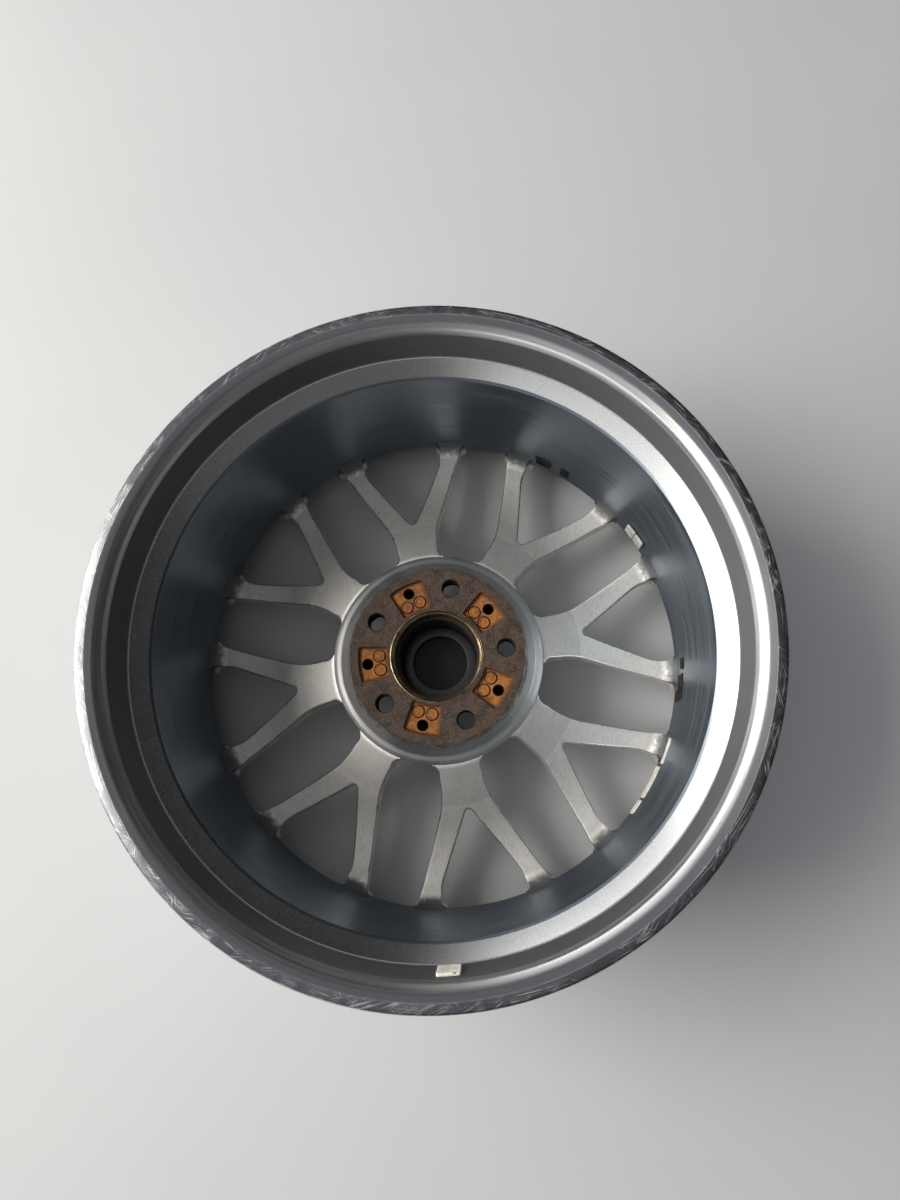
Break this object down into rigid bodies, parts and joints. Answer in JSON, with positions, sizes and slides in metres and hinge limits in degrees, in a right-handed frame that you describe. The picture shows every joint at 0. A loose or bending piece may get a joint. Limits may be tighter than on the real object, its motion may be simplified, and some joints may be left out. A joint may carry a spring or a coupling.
{
  "type": "forged racing wheel rim",
  "caption": "Forged one-piece racing wheel rim with forked spokes, a five-bolt hub with a spigot ring, a pull-off centre cap and a metal valve with a screw cap.",
  "frame": {"origin": "centre of the hub mounting face, which is the plane z = 0 and the centre of the bolt circle", "axes": "+Z along the wheel's axis towards the vehicle (inboard), one bolt hole on +Y, +X to its right seen from the inboard side"},
  "size_m": [0.4966, 0.4966, 0.2413],
  "materials": {
    "forged_aluminium": "machined round the axis, satin, scuffed on the flange faces",
    "spoke_aluminium": "satin, fine brushed",
    "stained_aluminium": "matt, stained brown by brake rust",
    "ring_bronze": "turned, tarnished",
    "spring_steel": "drawn wire",
    "black_plastic": "fine moulded grain",
    "black_gloss": "polished",
    "nickel_plate": "nickel plated, turned",
    "rubber": "matt",
    "valve_brass": "turned brass",
    "zinc_weight": "coated, dull",
    "tape_foam": "torn foam",
    "tape_cream": "adhesive tape"
  },
  "bodies": {
    "wheel": {"inner_lip": "forged_aluminium", "barrel": "forged_aluminium", "outer_lip": "forged_aluminium", "hub": "stained_aluminium", "spoke_1": "spoke_aluminium", "spoke_2": "spoke_aluminium", "spoke_3": "spoke_aluminium", "spoke_4": "spoke_aluminium", "spoke_5": "spoke_aluminium", "spoke_6": "spoke_aluminium", "spoke_7": "spoke_aluminium", "spoke_8": "spoke_aluminium", "spigot_ring": "ring_bronze", "spigot_ring_clip": "spring_steel", "valve_stem": "nickel_plate", "valve_seal": "rubber", "valve_washer": "nickel_plate", "valve_nut": "nickel_plate", "valve_core_body": "valve_brass", "valve_core_spring": "spring_steel", "balance_weight": "zinc_weight", "weight_foam": "tape_foam", "rim_weight": "tape_cream", "tape_strip": "tape_cream", "foam_scraps": "tape_foam"},
    "centre_cap": {"centre_cap_body": "black_plastic", "centre_cap_disc": "black_gloss", "centre_cap_spring": "spring_steel"},
    "valve_core_pin": {"valve_core_pin": "valve_brass"},
    "valve_cap_travel": {"valve_cap_seal": "rubber"},
    "valve_cap": {"valve_cap": "black_plastic"}
  },
  "joints": [
    {"name": "centre_cap_pull", "type": "slide", "parent": "wheel", "child": "centre_cap", "axis": [0, 0, -1], "range_m": [0, 0.045]},
    {"name": "valve_core_press", "type": "slide", "parent": "wheel", "child": "valve_core_pin", "axis": [0.2207, -0.3027, 0.9272], "range_m": [0, 0.0015], "stiffness_N_per_m": 2500, "springref_m": -0.002, "deforming": ["valve_core_spring"]},
    {"name": "valve_cap_screw", "type": "slide", "parent": "wheel", "child": "valve_cap_travel", "axis": [-0.2207, 0.3027, -0.9272], "range_m": [0, 0.0127]},
    {"name": "valve_cap_turn", "type": "hinge", "parent": "valve_cap_travel", "child": "valve_cap", "pos_m": [0.1276, -0.17499, -0.08165], "axis": [-0.2207, 0.3027, -0.9272], "range_deg": [0, 5760]}
  ],
  "couplings": [
    {"joint": "valve_cap_turn", "follows": "valve_cap_screw", "rad_per_m": 7913.3}
  ]
}
